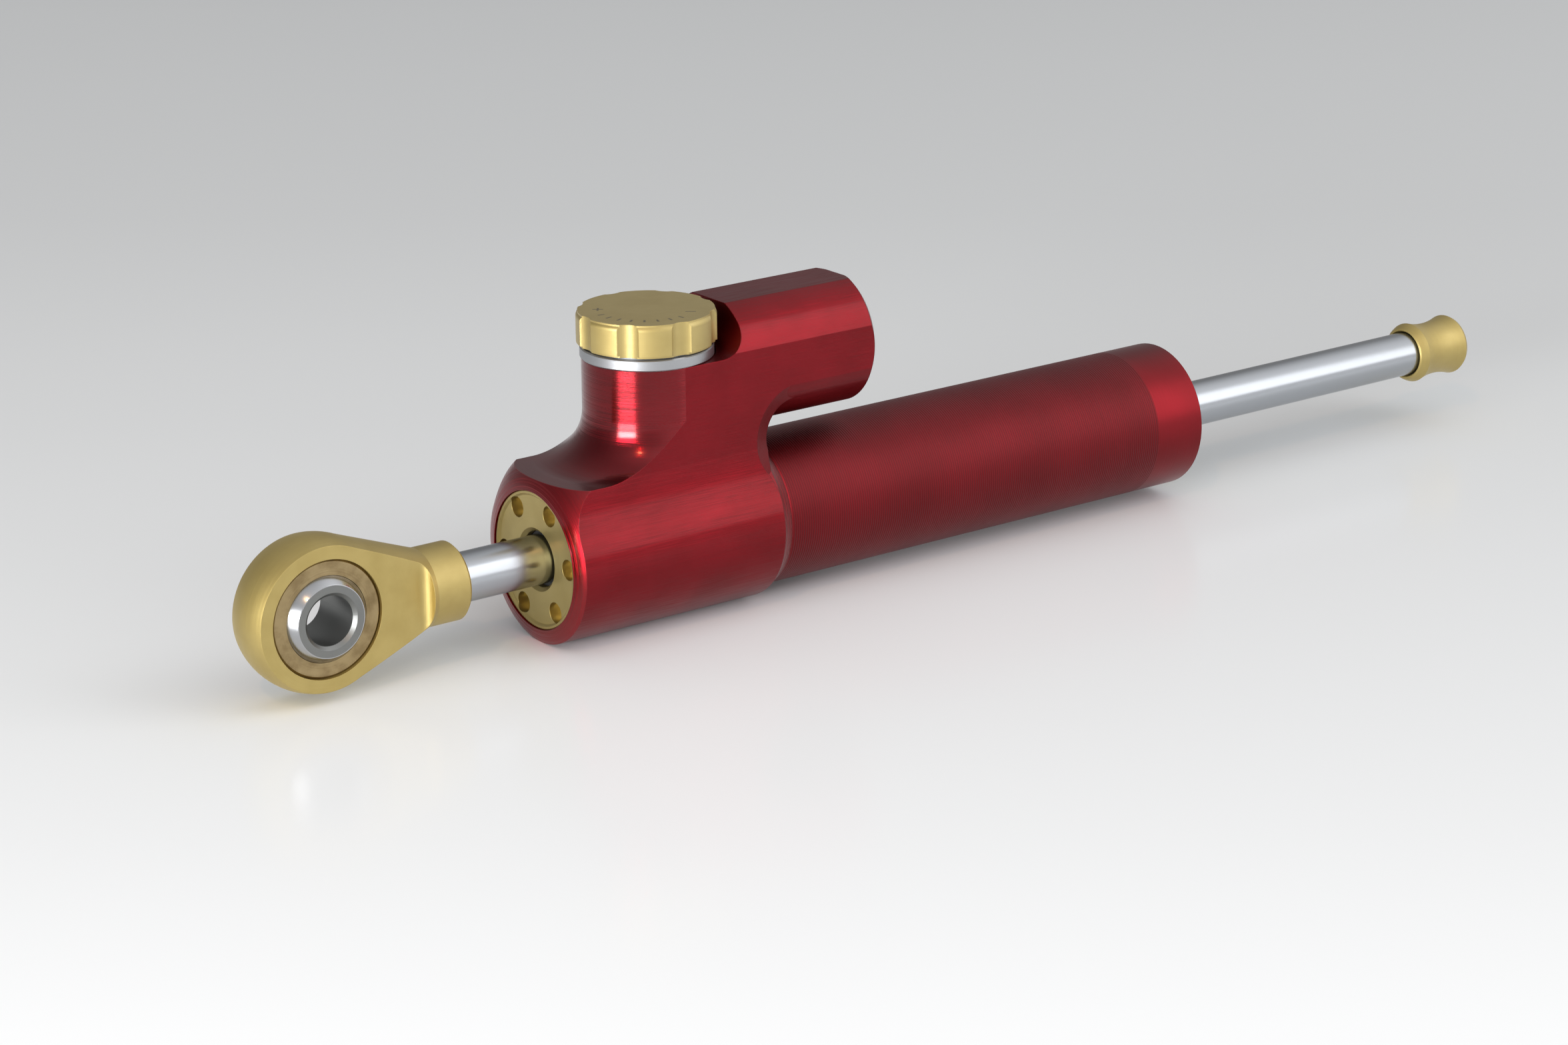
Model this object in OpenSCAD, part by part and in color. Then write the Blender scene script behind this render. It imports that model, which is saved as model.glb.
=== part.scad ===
// Motorcycle steering damper: a through-rod hydraulic damper with a top adjuster knob
// and a small reservoir barrel over the main tube.
// The origin is the centre of the rod end's ball, +X runs along the damper, +Z is up.

/* [Rod end] */
// Diameter of the spherical ball
ball_d = 15.875; // [15.5:0.125:16.25]
// Width of the ball between its two flat faces
ball_w = 10.8; // [10:0.2:12]
// Bore for the mounting bolt
ball_bore_d = 8; // [6:0.5:8]
// Diameter of the round eye
eye_d = 24.8; // [24:0.2:27]
// Width of the eye between its milled flats
eye_w = 8.6; // [8.2:0.1:9.4]
// Outer diameter of the bearing race
race_d = 19; // [18.6:0.1:19.4]
// Diameter of the neck that holds the rod
neck_d = 12.7; // [12:0.1:14]
// Distance from the ball's centre to the end of the neck
neck_end = 24.7; // [23:0.1:26]

/* [Rod] */
// Diameter of the chromed rod
rod_d = 8; // [7.6:0.1:8]
// Distance from the ball's centre to the face of the tail stop
stop_x = 233; // [232:0.5:236]
// Length of the tail stop
stop_l = 12; // [10:0.5:14]
// Largest diameter of the tail stop
stop_d = 11; // [10.6:0.1:12]
// Diameter of the tail stop at its waist
stop_waist_d = 9.5; // [9.2:0.1:10]

/* [Tube] */
// Outer diameter of the main tube
tube_d = 25; // [24.8:0.1:25]
// Far end of the main tube
tube_end = 171.2; // [170.8:0.1:174]
// Bore of the inner cylinder that the piston runs in
liner_bore_d = 19; // [18.8:0.1:19.2]

/* [Head] */
// Outer diameter of the head's lower barrel
barrel_d = 27.6; // [27.4:0.1:28.4]
// Front face of the head
head_x = 39.75; // [39.5:0.05:40]
// Far end of the lower barrel, before its taper
barrel_end = 79.3; // [79:0.1:80]
// Distance from the ball's centre to the knob's axis
knob_x = 62.4; // [62:0.1:63]
// Width of the post and web
web_w = 21; // [20.6:0.1:21.2]
// Height of the post's top over the damper's axis
post_top = 29.85; // [29.6:0.05:30]
// Height of the shelf in front of the post
shelf_z = 13.3; // [12.8:0.1:13.8]
// Radius of the turned flare round the foot of the post
flare_r = 8; // [7:0.25:8.5]
// Height at which the web starts to spread into the lower barrel
crease_z = 18; // [17:0.5:18.5]

/* [Reservoir barrel] */
// Outer diameter of the reservoir barrel
upper_d = 22.2; // [22:0.1:22.6]
// Height of the reservoir barrel's axis
upper_z = 26.9; // [26.8:0.05:27.2]
// Far end of the reservoir barrel
upper_end = 100.1; // [100:0.5:104]
// Height of the flat milled along the top
upper_flat_z = 37.1; // [36.8:0.1:37.4]
// Radius of the throat under the reservoir barrel, at the web's sides
throat_r = 8.7; // [8.2:0.1:8.8]

/* [Knob] */
// Outer diameter of the knob
knob_d = 22.4; // [22.2:0.1:22.8]
// Height of the knob's underside
knob_z = 32.05; // [31.95:0.05:32.3]
// Height of the knob
knob_h = 5.35; // [5.3:0.05:6.3]
// Number of finger scallops
scallops = 8; // [6:1:12]
// Width of one scallop
scallop_w = 3.9; // [3:0.1:4.4]
// Depth of one scallop
scallop_depth = 0.75; // [0.5:0.05:0.9]
// Number of pin holes in each gland nut
pin_holes = 6; // [4:1:6]

/* [Hidden] */
$fn = 72;

RED = "firebrick";
GOLD = "goldenrod";
STEEL = "silver";
BRONZE = "peru";
RUBBER = "dimgray";

// Gap left in a fixed fit, and in a fit that runs
seat_gap = 0.02;
run_gap = 0.03;
// Overshoot of a cutting tool past the face that it opens
over = 1;
// How far two rounds that run into each other overlap, so that they cross cleanly
touch = 0.03;

rod_r = rod_d / 2;
barrel_r = barrel_d / 2;
tube_r = tube_d / 2;
web_half = web_w / 2;

// The lower barrel's nose is turned to a large round edge, and its far end tapers to the tube.
nose_r = 7.76;
nose_centre = [10.05, head_x + nose_r];
taper_l = 2.3;
tube_x = barrel_end + taper_l;

// Bores of the head, from the front
nut_x = 40.1;
nut_l = 5;
nut_r = 11.3;
guide_x = nut_x + nut_l;
liner_r = 10.3;
annulus_x = 65;
annulus_r = 10.8;
spigot_x = 67;
spigot_r = 12;
// Groove of the tube's O-ring
groove_x = 69.4;
groove_w = 1.2;
groove_r = 11.1;

// The web spreads into the barrel along an arc that is tangent to the barrel.
spread_z = crease_z - 2;
spread_u = solve_spread(0, 40, 40);
spread_r = sqrt(spread_u * spread_u + (crease_z - spread_z) * (crease_z - spread_z));
spread_y = web_half + spread_u;
spread_low = barrel_r * spread_z / (barrel_r + spread_r);

// Throat under the reservoir barrel: an arc at the sides, countersunk from a smaller one
throat_x = knob_x + 22.5;
throat_z = 14.8;
throat_sink = 2.8;
throat_core_r = throat_r - throat_sink;
throat_core_half = web_half - 1.3;
// Round that leads from the throat into the barrel's end
lead_r = 8;
lead_x = barrel_end - lead_r;
lead_z = throat_z - sqrt(pow(throat_r + lead_r, 2) - pow(throat_x - lead_x, 2));

// Notch for the knob in the front end of the reservoir barrel
notch_x = knob_x + 12.1;
notch_r = 4.9;

// Adjuster: heights over the damper's axis
collar_top = 31.7;
collar_step_top = 32.9;
hub_z = collar_top + 0.6;
spindle_r = 3;
needle_bore_r = 3.2;
collar_spigot_r = 6.45;
collar_foot = 21;
flange_bore_r = 4.5;
needle_flat = 2;
seat_z = 14;
detent_orbit = 6.5;
detent_r = 1;
needle_open_z = 16.34;
// Height of the oil way to the reservoir
way_z = 19.9;

// Reservoir
res_bore_r = 8;
res_x = 78;
res_piston_x = 84;
res_piston_l = 5;
res_plug_x = 94.5;
res_plug_l = 4;
circlip_x = res_plug_x + res_plug_l;

// Rod, piston and far gland
piston_x = 124;
piston_l = 10;
liner_x = 59;
liner_end = 152;
chamber_x = 61.5;
chamber_end = 149.5;
rear_nut_x = 165.5;
rear_nut_r = 11.4;
rear_face = rear_nut_x + nut_l;
thread_r = 3;

// How far the spread's arc is from touching the barrel, and the offset of its centre where it
// does, found by halving an interval
function spread_gap(u) =
    pow(web_half + u, 2) + spread_z * spread_z
    - pow(barrel_r - touch + sqrt(u * u + pow(crease_z - spread_z, 2)), 2);
function solve_spread(low, high, steps) =
    steps == 0 ? (low + high) / 2
    : spread_gap((low + high) / 2) > 0 ? solve_spread((low + high) / 2, high, steps - 1)
    : solve_spread(low, (low + high) / 2, steps - 1);

// A profile of [radius, x] turned about the damper's axis
module turned() {
    rotate([0, 90, 0])
        rotate_extrude($fn = 96)
            children();
}

// A round bar along X from x0 to x1
module bar(r, x0, x1) {
    translate([x0, 0, 0])
        rotate([0, 90, 0])
            cylinder(r = r, h = x1 - x0);
}

// A washer or tube along X
module sleeve(outer, inner, x0, x1) {
    difference() {
        bar(outer, x0, x1);
        bar(inner, x0 - over, x1 + over);
    }
}

// A section drawn in Y and Z, run along X
module along_x(x0, x1) {
    translate([x0, 0, 0])
        rotate([90, 0, 90])
            linear_extrude(x1 - x0)
                children();
}

// A side view drawn in X and Z, run across the part from y0 to y1
module across(y0, y1) {
    translate([0, y1, 0])
        rotate([90, 0, 0])
            linear_extrude(y1 - y0)
                children();
}

// A round bar across the part at x, z
module cross_bar(r, x, z, y0, y1) {
    translate([x, y0, z])
        rotate([-90, 0, 0])
            cylinder(r = r, h = y1 - y0);
}

// An O-ring round the X axis
module oring_x(mean_r, cord_r, x) {
    translate([x, 0, 0])
        rotate([0, 90, 0])
            rotate_extrude()
                translate([mean_r, 0])
                    circle(r = cord_r, $fn = 32);
}

// One unbroken coil spring along +Z, with straight ends of half a turn
module coil(mean_r, wire_r, length, turns) {
    sides = 6;
    per_turn = 14;
    steps = turns * per_turn;
    rise = (length - 2 * wire_r) / steps;
    points = [
        for (i = [0 : steps]) let (a = 360 * i / per_turn, z = wire_r + rise * i)
        for (k = [0 : sides - 1]) let (b = 360 * k / sides)
        [(mean_r + wire_r * cos(b)) * cos(a), (mean_r + wire_r * cos(b)) * sin(a), z + wire_r * sin(b)]
    ];
    walls = [
        for (i = [0 : steps - 1])
        for (k = [0 : sides - 1]) let (n = (k + 1) % sides)
        for (t = [0, 1])
        t == 0 ? [i * sides + k, i * sides + n, (i + 1) * sides + n]
            : [i * sides + k, (i + 1) * sides + n, (i + 1) * sides + k]
    ];
    ends = [
        [for (k = [sides - 1 : -1 : 0]) k],
        [for (k = [0 : sides - 1]) steps * sides + k]
    ];
    polyhedron(points = points, faces = concat(walls, ends), convexity = 6);
}

// Section of the web: parallel sides that spread into the lower barrel
module web_section() {
    translate([-web_half, 0])
        square([web_w, post_top]);
    difference() {
        translate([-barrel_r, spread_low])
            square([barrel_d, crease_z - spread_low]);
        for (side = [-1, 1])
            translate([side * spread_y, spread_z])
                circle(r = spread_r);
    }
}

// Section of the reservoir barrel, with flats at its sides and along its top
module upper_section() {
    intersection() {
        translate([0, upper_z])
            circle(r = upper_d / 2);
        translate([-web_half, 0])
            square([web_w, upper_flat_z]);
    }
}

// Web and post before the flare is turned
module web() {
    difference() {
        along_x(head_x, throat_x)
            web_section();
        cross_bar(throat_core_r, throat_x, throat_z, -20, 20);
        across(-20, 20)
            difference() {
                lead_section();
                translate([lead_x, lead_z])
                    circle(r = lead_r + throat_sink + touch);
            }
        across(-20, 20)
            translate([barrel_end, -over])
                square([20, throat_z + over]);
        for (side = [0, 1])
            mirror([0, side, 0])
                throat_side();
    }
}

// Below the line on which the throat's arc and the lead's arc touch
module lead_section() {
    polygon([[lead_x, lead_z], [throat_x, throat_z], [throat_x + 9, throat_z],
        [throat_x + 9, -over], [lead_x, -over]]);
}

// What is cut from one side of the web: the throat's countersink and the same along its lead
module throat_side() {
    depth = web_half - throat_core_half;
    cross_bar(throat_r, throat_x, throat_z, web_half, 20);
    translate([throat_x, throat_core_half, throat_z])
        rotate([-90, 0, 0])
            cylinder(r1 = throat_core_r, r2 = throat_r, h = depth);
    difference() {
        across(throat_core_half, 20)
            lead_section();
        translate([lead_x, throat_core_half, lead_z])
            rotate([-90, 0, 0])
                cylinder(r1 = lead_r + throat_sink + touch, r2 = lead_r + touch, h = depth);
        cross_bar(lead_r + touch, lead_x, lead_z, throat_core_half, 20 + over);
    }
}

// Turned space in front of the post: straight wall, flare and shelf
module flare_cut() {
    centre_r = web_half + flare_r;
    centre_z = shelf_z + flare_r;
    translate([knob_x, 0, 0])
        rotate([0, 0, 90])
            rotate_extrude(angle = 180, $fn = 96) {
                translate([web_half, centre_z])
                    square([40, 30]);
                translate([centre_r, shelf_z])
                    square([30, 30]);
                translate([centre_r, centre_z])
                    circle(r = flare_r, $fn = 96);
            }
}

// Notch for the knob, with a round inside corner, and the round seat for the knob and collar
module knob_notch() {
    across(-20, 20) {
        translate([head_x, post_top])
            square([notch_x - notch_r - head_x, 20]);
        translate([head_x, post_top + notch_r])
            square([notch_x - head_x, 20]);
        translate([notch_x - notch_r, post_top + notch_r])
            circle(r = notch_r);
    }
    translate([knob_x, 0, post_top])
        cylinder(r = 10.95, h = 20);
}

// Outer form of the lower barrel: round nose, straight barrel, taper down to the tube
module lower_barrel() {
    turned()
        polygon([[0, head_x], [barrel_r, head_x], [barrel_r, barrel_end],
            [tube_r, tube_x], [0, tube_x]]);
}

// The turned round that limits the head at the front
module nose_limit() {
    turned() {
        translate([0, nose_centre[1]])
            square([45, 80]);
        translate([0, head_x])
            square([nose_centre[0], 20]);
        intersection() {
            translate([nose_centre[0], nose_centre[1]])
                circle(r = nose_r, $fn = 96);
            translate([0, head_x])
                square([45, 20]);
        }
    }
}

module head_bores() {
    bar(nut_r, head_x - over, guide_x);
    bar(liner_r, head_x, tube_x + over);
    bar(annulus_r, annulus_x, tube_x + over);
    bar(spigot_r, spigot_x, tube_x + over);
    // Oil ways: up to the needle seat, across to the reservoir, down to the gap round the liner
    translate([knob_x, 0, liner_r - over])
        cylinder(r = 1.5, h = seat_z + 2 * over - liner_r);
    bar_at(1.1, knob_x, res_x + over, way_z);
    translate([annulus_x + 1, 0, liner_r - over])
        cylinder(r = 0.9, h = way_z + over - liner_r);
    // Adjuster
    translate([knob_x, 0, seat_z])
        cylinder(r = needle_bore_r, h = collar_foot - seat_z + over);
    translate([knob_x, 0, collar_foot])
        cylinder(r = collar_spigot_r, h = 20);
    // Reservoir and the groove of its circlip
    bar_at(res_bore_r, res_x, upper_end + over, upper_z);
    bar_at(res_bore_r + 0.5, circlip_x, circlip_x + 1, upper_z);
}

// A round bar along X at height z
module bar_at(r, x0, x1, z) {
    translate([0, 0, z])
        bar(r, x0, x1);
}

module valve_head() {
    color(RED)
        difference() {
            union() {
                intersection() {
                    union() {
                        lower_barrel();
                        web();
                    }
                    nose_limit();
                }
                upper_barrel();
            }
            flare_cut();
            knob_notch();
            head_bores();
        }
}

module upper_barrel() {
    chamfer = 0.6;
    intersection() {
        along_x(knob_x, upper_end)
            upper_section();
        translate([0, 0, upper_z])
            turned()
                polygon([[0, knob_x - over], [15, knob_x - over],
                    [15, upper_end - chamfer - 15 + upper_d / 2],
                    [upper_d / 2 - chamfer, upper_end], [0, upper_end]]);
    }
}

module cylinder_tube() {
    edge = 0.3;
    color(RED)
        turned()
            polygon([[annulus_r, spigot_x], [spigot_r - seat_gap, spigot_x],
                [spigot_r - seat_gap, groove_x], [groove_r, groove_x],
                [groove_r, groove_x + groove_w], [spigot_r - seat_gap, groove_x + groove_w],
                [spigot_r - seat_gap, tube_x], [tube_r, tube_x],
                [tube_r, tube_end - edge], [tube_r - edge, tube_end], [rear_nut_r, tube_end],
                [rear_nut_r, rear_nut_x], [annulus_r, rear_nut_x]]);
}

module inner_cylinder() {
    color(STEEL)
        difference() {
            sleeve(liner_r - seat_gap, liner_bore_d / 2, liner_x, liner_end);
            translate([knob_x, 0, 0])
                cylinder(r = 1.2, h = 20);
            for (a = [0 : 90 : 270])
                rotate([a, 0, 0])
                    translate([chamber_end - 1.3, 0, 0])
                        cylinder(r = 1, h = 20);
        }
}

module tube_oring() {
    color(RUBBER)
        oring_x((groove_r + spigot_r) / 2, 0.44, groove_x + groove_w / 2);
}

// Gland nut with its face at x = 0 and its body towards +X
module gland_nut(outer_r) {
    rim = 0.5;
    dish = 0.35;
    pin_r = 1.7;
    pin_orbit = 9.05;
    first_pin = -4;
    wiper_r = 6.5;
    difference() {
        turned()
            polygon([[rod_r + 0.6, dish + 0.6], [rod_r + 1.2, dish], [outer_r - rim - dish, dish],
                [outer_r - rim, 0], [outer_r - 0.15, 0], [outer_r, 0.15],
                [outer_r, nut_l], [wiper_r, nut_l], [wiper_r, 1.9], [rod_r + 0.6, 1.9]]);
        for (i = [0 : pin_holes - 1])
            rotate([first_pin + 360 * i / pin_holes, 0, 0])
                translate([0, pin_orbit, 0])
                    turned()
                        polygon([[0, -over], [pin_r, -over], [pin_r, 3], [0, 4]]);
    }
}

module front_gland_nut() {
    color(GOLD)
        translate([nut_x, 0, 0])
            gland_nut(nut_r - seat_gap);
}

module rear_gland_nut() {
    color(GOLD)
        translate([rear_face, 0, 0])
            mirror([1, 0, 0])
                gland_nut(rear_nut_r - seat_gap);
}

// Scraper lip against the rod
module wiper(x0) {
    color(RUBBER)
        translate([x0, 0, 0])
            turned()
                polygon([[rod_r + run_gap, 0], [rod_r + 0.5, 0], [rod_r + 0.9, 1.2],
                    [6.48, 1.2], [6.48, 3.1], [rod_r + run_gap + 0.3, 3.1], [rod_r + run_gap, 0.4]]);
}

module front_wiper() {
    wiper(nut_x + 1.9);
}

module rear_wiper() {
    translate([rear_face - 1.9, 0, 0])
        mirror([1, 0, 0])
            wiper(0);
}

// Lip seal pocketed in the rod guide
module rod_seal(x0) {
    color(RUBBER)
        translate([x0, 0, 0])
            turned()
                polygon([[rod_r + run_gap, 0], [7.98, 0], [7.98, 4.4], [6.8, 4.4],
                    [6.2, 2.4], [5.2, 2.4], [rod_r + 0.7, 4.4], [rod_r + run_gap, 4]]);
}

module front_rod_seal() {
    rod_seal(guide_x);
}

module rear_rod_seal() {
    translate([rear_nut_x, 0, 0])
        mirror([1, 0, 0])
            rod_seal(0);
}

// Rod guide with its outer face at x = 0: seal pocket, O-ring groove, spigot into the liner
module rod_guide(outer_r, shoulder, length, groove_x) {
    difference() {
        turned()
            polygon([[rod_r + run_gap, 4.4], [8, 4.4], [8, 0], [outer_r, 0], [outer_r, shoulder],
                [liner_bore_d / 2 - seat_gap, shoulder], [liner_bore_d / 2 - seat_gap, length],
                [rod_r + run_gap, length]]);
        sleeve(outer_r + over, outer_r - 1.5, groove_x, groove_x + 2);
    }
}

module front_rod_guide() {
    color(BRONZE)
        translate([guide_x, 0, 0])
            rod_guide(liner_r - seat_gap, liner_x - guide_x, chamber_x - guide_x, 7);
}

module rear_rod_guide() {
    color(BRONZE)
        translate([rear_nut_x, 0, 0])
            mirror([1, 0, 0])
                rod_guide(annulus_r - seat_gap, rear_nut_x - liner_end, rear_nut_x - chamber_end, 7);
}

module front_guide_oring() {
    color(RUBBER)
        oring_x(liner_r - 0.75, 0.72, guide_x + 8);
}

module rear_guide_oring() {
    color(RUBBER)
        oring_x(annulus_r - 0.75, 0.72, rear_nut_x - 8);
}

module piston_rod() {
    tip_x = 12.9;
    shoulder_x = neck_end - 1.5;
    groove_r = 3.5;
    color(STEEL)
        turned()
            polygon([[0, tip_x], [thread_r - 0.5, tip_x], [thread_r - seat_gap, tip_x + 0.5],
                [thread_r - seat_gap, shoulder_x], [rod_r, shoulder_x],
                [rod_r, piston_x - 1], [groove_r, piston_x - 1], [groove_r, piston_x],
                [rod_r, piston_x], [rod_r, piston_x + piston_l], [groove_r, piston_x + piston_l],
                [groove_r, piston_x + piston_l + 1], [rod_r, piston_x + piston_l + 1],
                [rod_r, stop_x + 3], [thread_r - seat_gap, stop_x + 3],
                [thread_r - seat_gap, stop_x + 8.5], [thread_r - 0.5, stop_x + 9], [0, stop_x + 9]]);
}

module piston() {
    ring_w = 3;
    color(BRONZE)
        difference() {
            sleeve(liner_bore_d / 2 - 0.05, rod_r + seat_gap, piston_x, piston_x + piston_l);
            sleeve(liner_bore_d / 2 + over, liner_bore_d / 2 - 1.4, piston_x + piston_l / 2 - ring_w / 2,
                piston_x + piston_l / 2 + ring_w / 2);
        }
}

module piston_ring() {
    ring_w = 2.9;
    color(RUBBER)
        sleeve(liner_bore_d / 2 - run_gap, liner_bore_d / 2 - 1.35, piston_x + piston_l / 2 - ring_w / 2,
            piston_x + piston_l / 2 + ring_w / 2);
}

module piston_circlips() {
    for (x = [piston_x - 1, piston_x + piston_l])
        color(STEEL)
            difference() {
                sleeve(5.6, 3.5 + seat_gap, x + seat_gap, x + 1 - seat_gap);
                translate([x - over, -1, -8])
                    cube([4, 2, 6]);
            }
}

module tail_stop() {
    front_r = stop_d / 2;
    back_r = front_r - 0.1;
    waist_x0 = 1.6;
    waist_x1 = stop_l - 1;
    waist_half = (waist_x1 - waist_x0) / 2;
    waist_depth = (front_r + back_r) / 2 - stop_waist_d / 2;
    waist_r = (waist_half * waist_half + waist_depth * waist_depth) / (2 * waist_depth);
    color(GOLD)
        translate([stop_x, 0, 0])
            turned()
                difference() {
                    polygon([[rod_r + 0.15, 0.3], [rod_r + 0.35, 0], [rod_r + 0.7, 0.1],
                        [front_r - 0.3, 0.9], [front_r, waist_x0], [front_r, waist_x1],
                        [back_r - 0.2, stop_l - 0.4], [back_r - 0.8, stop_l],
                        [0, stop_l], [0, 9.3], [thread_r, 9.3], [thread_r, 3], [rod_r + 0.15, 3]]);
                    translate([stop_waist_d / 2 + waist_r, (waist_x0 + waist_x1) / 2])
                        circle(r = waist_r, $fn = 128);
                }
}

// Eye of the rod end: a ball-shaped rim between two flat faces
module eye_disc() {
    rotate([-90, 0, 0])
        rotate_extrude($fn = 96)
            intersection() {
                circle(r = eye_d / 2, $fn = 96);
                translate([0, -eye_w / 2])
                    square([eye_d, eye_w]);
            }
}

// Shank of the rod end: a cone that leaves the eye's rim smoothly, and the neck
module shank() {
    cone_slope = 0.37;
    cone_angle = atan(cone_slope);
    start = [(eye_d / 2 - touch) * cos(cone_angle), (eye_d / 2 - touch) * sin(cone_angle)];
    neck_x = start[1] + (start[0] - neck_d / 2) / cone_slope;
    edge = 0.5;
    turned()
        polygon([[0, start[1]], start, [neck_d / 2, neck_x],
            [neck_d / 2, neck_end - edge], [neck_d / 2 - edge, neck_end], [0, neck_end]]);
}

// What is milled away beside one of the eye's flats, drawn in X and Y
module flat_section() {
    flat_end = 16.1;
    runout_r = 1.5;
    half_w = eye_w / 2;
    difference() {
        translate([-20, half_w])
            square([20 + flat_end + runout_r, 20]);
        translate([flat_end, half_w - over])
            square([runout_r + over, runout_r + over]);
    }
    intersection() {
        translate([flat_end, half_w + runout_r])
            circle(r = runout_r, $fn = 48);
        translate([flat_end - 0.1, half_w])
            square([runout_r + over, runout_r + 0.1]);
    }
}

module rod_end_housing() {
    rod_pocket = 1.5;
    thread_x = 11.5;
    color(GOLD)
        difference() {
            union() {
                eye_disc();
                difference() {
                    shank();
                    for (side = [0, 1])
                        mirror([0, side, 0])
                            translate([0, 0, -20])
                                linear_extrude(40)
                                    flat_section();
                }
            }
            cross_bar(race_d / 2, 0, 0, -eye_w, eye_w);
            turned()
                polygon([[0, thread_x - 1], [thread_r, thread_x], [thread_r, neck_end - rod_pocket],
                    [rod_r + 0.2, neck_end - rod_pocket], [rod_r + 0.2, neck_end + over],
                    [0, neck_end + over]]);
        }
}

module rod_end_race() {
    half_w = eye_w / 2 - 0.35;
    outer_r = race_d / 2 - seat_gap;
    edge = 0.4;
    color(BRONZE)
        rotate([-90, 0, 0])
            rotate_extrude($fn = 96)
                difference() {
                    polygon([[ball_bore_d / 2, -half_w], [outer_r - edge, -half_w],
                        [outer_r, edge - half_w], [outer_r, half_w - edge],
                        [outer_r - edge, half_w], [ball_bore_d / 2, half_w]]);
                    circle(r = ball_d / 2 + run_gap, $fn = 96);
                }
}

module rod_end_ball() {
    edge = 0.55;
    bore_r = ball_bore_d / 2;
    color(STEEL)
        rotate([-90, 0, 0])
            rotate_extrude($fn = 96)
                intersection() {
                    circle(r = ball_d / 2, $fn = 96);
                    polygon([[bore_r, -ball_w / 2 + edge], [bore_r + edge, -ball_w / 2],
                        [ball_d, -ball_w / 2], [ball_d, ball_w / 2],
                        [bore_r + edge, ball_w / 2], [bore_r, ball_w / 2 - edge]]);
                }
}

module adjuster_knob() {
    edge_r = 1;
    knob_r = knob_d / 2;
    scallop_r = (scallop_w * scallop_w / 4 + scallop_depth * scallop_depth) / (2 * scallop_depth);
    top = knob_z + knob_h;
    first_scallop = 40;
    color(GOLD)
        translate([knob_x, 0, 0])
            difference() {
                rotate_extrude($fn = 96) {
                    translate([0, knob_z + 0.3])
                        square([knob_r, knob_h - edge_r - 0.3]);
                    translate([0, knob_z])
                        square([knob_r - 0.3, knob_h]);
                    translate([0, knob_z])
                        square([knob_r - edge_r, knob_h]);
                    translate([knob_r - edge_r, top - edge_r])
                        circle(r = edge_r, $fn = 48);
                }
                for (i = [0 : scallops - 1])
                    rotate([0, 0, first_scallop + 360 * i / scallops])
                        translate([knob_r - scallop_depth + scallop_r, 0, knob_z - over])
                            cylinder(r = scallop_r, h = knob_h + 2 * over);
                translate([0, 0, knob_z - over])
                    cylinder(r = 9.9, h = hub_z - knob_z + over + 0.9);
                translate([0, 0, hub_z])
                    cylinder(r = spindle_r + seat_gap, h = 4.2);
                translate([detent_orbit, 0, hub_z])
                    cylinder(r = detent_r + 0.03, h = 4.2);
                translate([0, spindle_r - over, hub_z + 2.6])
                    rotate([-90, 0, 0])
                        cylinder(r = 1.27, h = 20);
            }
}

module knob_grub_screw() {
    length = 6;
    color(STEEL)
        translate([knob_x, spindle_r, hub_z + 2.6])
            rotate([-90, 0, 0])
                difference() {
                    cylinder(r = 1.25, h = length);
                    translate([0, 0, length - 1.5])
                        cylinder(r = 0.7, h = 2, $fn = 6);
                }
}

module detent_ball() {
    color(STEEL)
        translate([knob_x + detent_orbit, 0, collar_step_top + detent_r - 0.25])
            sphere(r = detent_r, $fn = 32);
}

module detent_spring() {
    base = collar_step_top + detent_r + 0.52;
    color(STEEL)
        translate([knob_x + detent_orbit, 0, base])
            coil(0.7, 0.18, hub_z + 4.2 - base, 3);
}

module knob_collar() {
    groove_clear = 0.06;
    color(STEEL)
        translate([knob_x, 0, 0])
            difference() {
                rotate_extrude($fn = 96)
                    polygon([[0, collar_foot], [collar_spigot_r - seat_gap, collar_foot],
                        [collar_spigot_r - seat_gap, post_top], [10.5, post_top],
                        [10.7, post_top + 0.2], [10.7, collar_top - 0.2], [10.5, collar_top],
                        [9.6, collar_top], [9.6, collar_step_top], [0, collar_step_top]]);
                translate([0, 0, collar_foot - over])
                    cylinder(r = spindle_r + run_gap, h = 20);
                // Room for the spindle's flange, closed by the needle guide
                translate([0, 0, collar_foot - over])
                    cylinder(r = flange_bore_r, h = 5.4 + over);
                // O-ring groove
                translate([0, 0, 27.8])
                    cylinder(r = 3.92, h = 0.9);
                // Track of the detent ball, with a dimple for each click
                rotate_extrude($fn = 96)
                    translate([detent_orbit, collar_step_top + detent_r - 0.25])
                        circle(r = detent_r + groove_clear, $fn = 32);
                for (i = [0 : 23])
                    rotate([0, 0, 15 * i])
                        translate([detent_orbit, 0, collar_step_top - 0.7])
                            cylinder(r = 0.45, h = 2);
            }
}

// Turns with the knob: top in the knob, flange in the collar, bore for the needle's stem
module adjuster_spindle() {
    color(STEEL)
        translate([knob_x, 0, 0])
            difference() {
                union() {
                    translate([0, 0, 23])
                        cylinder(r = spindle_r, h = hub_z + 4.1 - 23);
                    translate([0, 0, 24.6])
                        cylinder(r = 4.2, h = 1.4);
                }
                translate([0, 0, 22])
                    cylinder(r = 1.55, h = 9);
            }
}

module spindle_oring() {
    color(RUBBER)
        translate([knob_x, 0, 28.25])
            rotate_extrude()
                translate([3.48, 0])
                    circle(r = 0.42, $fn = 24);
}

// Washer pressed into the collar's foot: its flat keeps the needle from turning
module needle_guide() {
    color(BRONZE)
        translate([knob_x, 0, collar_foot])
            linear_extrude(1.5)
                difference() {
                    circle(r = flange_bore_r - seat_gap);
                    intersection() {
                        circle(r = 2.6 + run_gap);
                        translate([-5, -needle_flat - run_gap])
                            square([10, 10]);
                    }
                }
}

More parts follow.
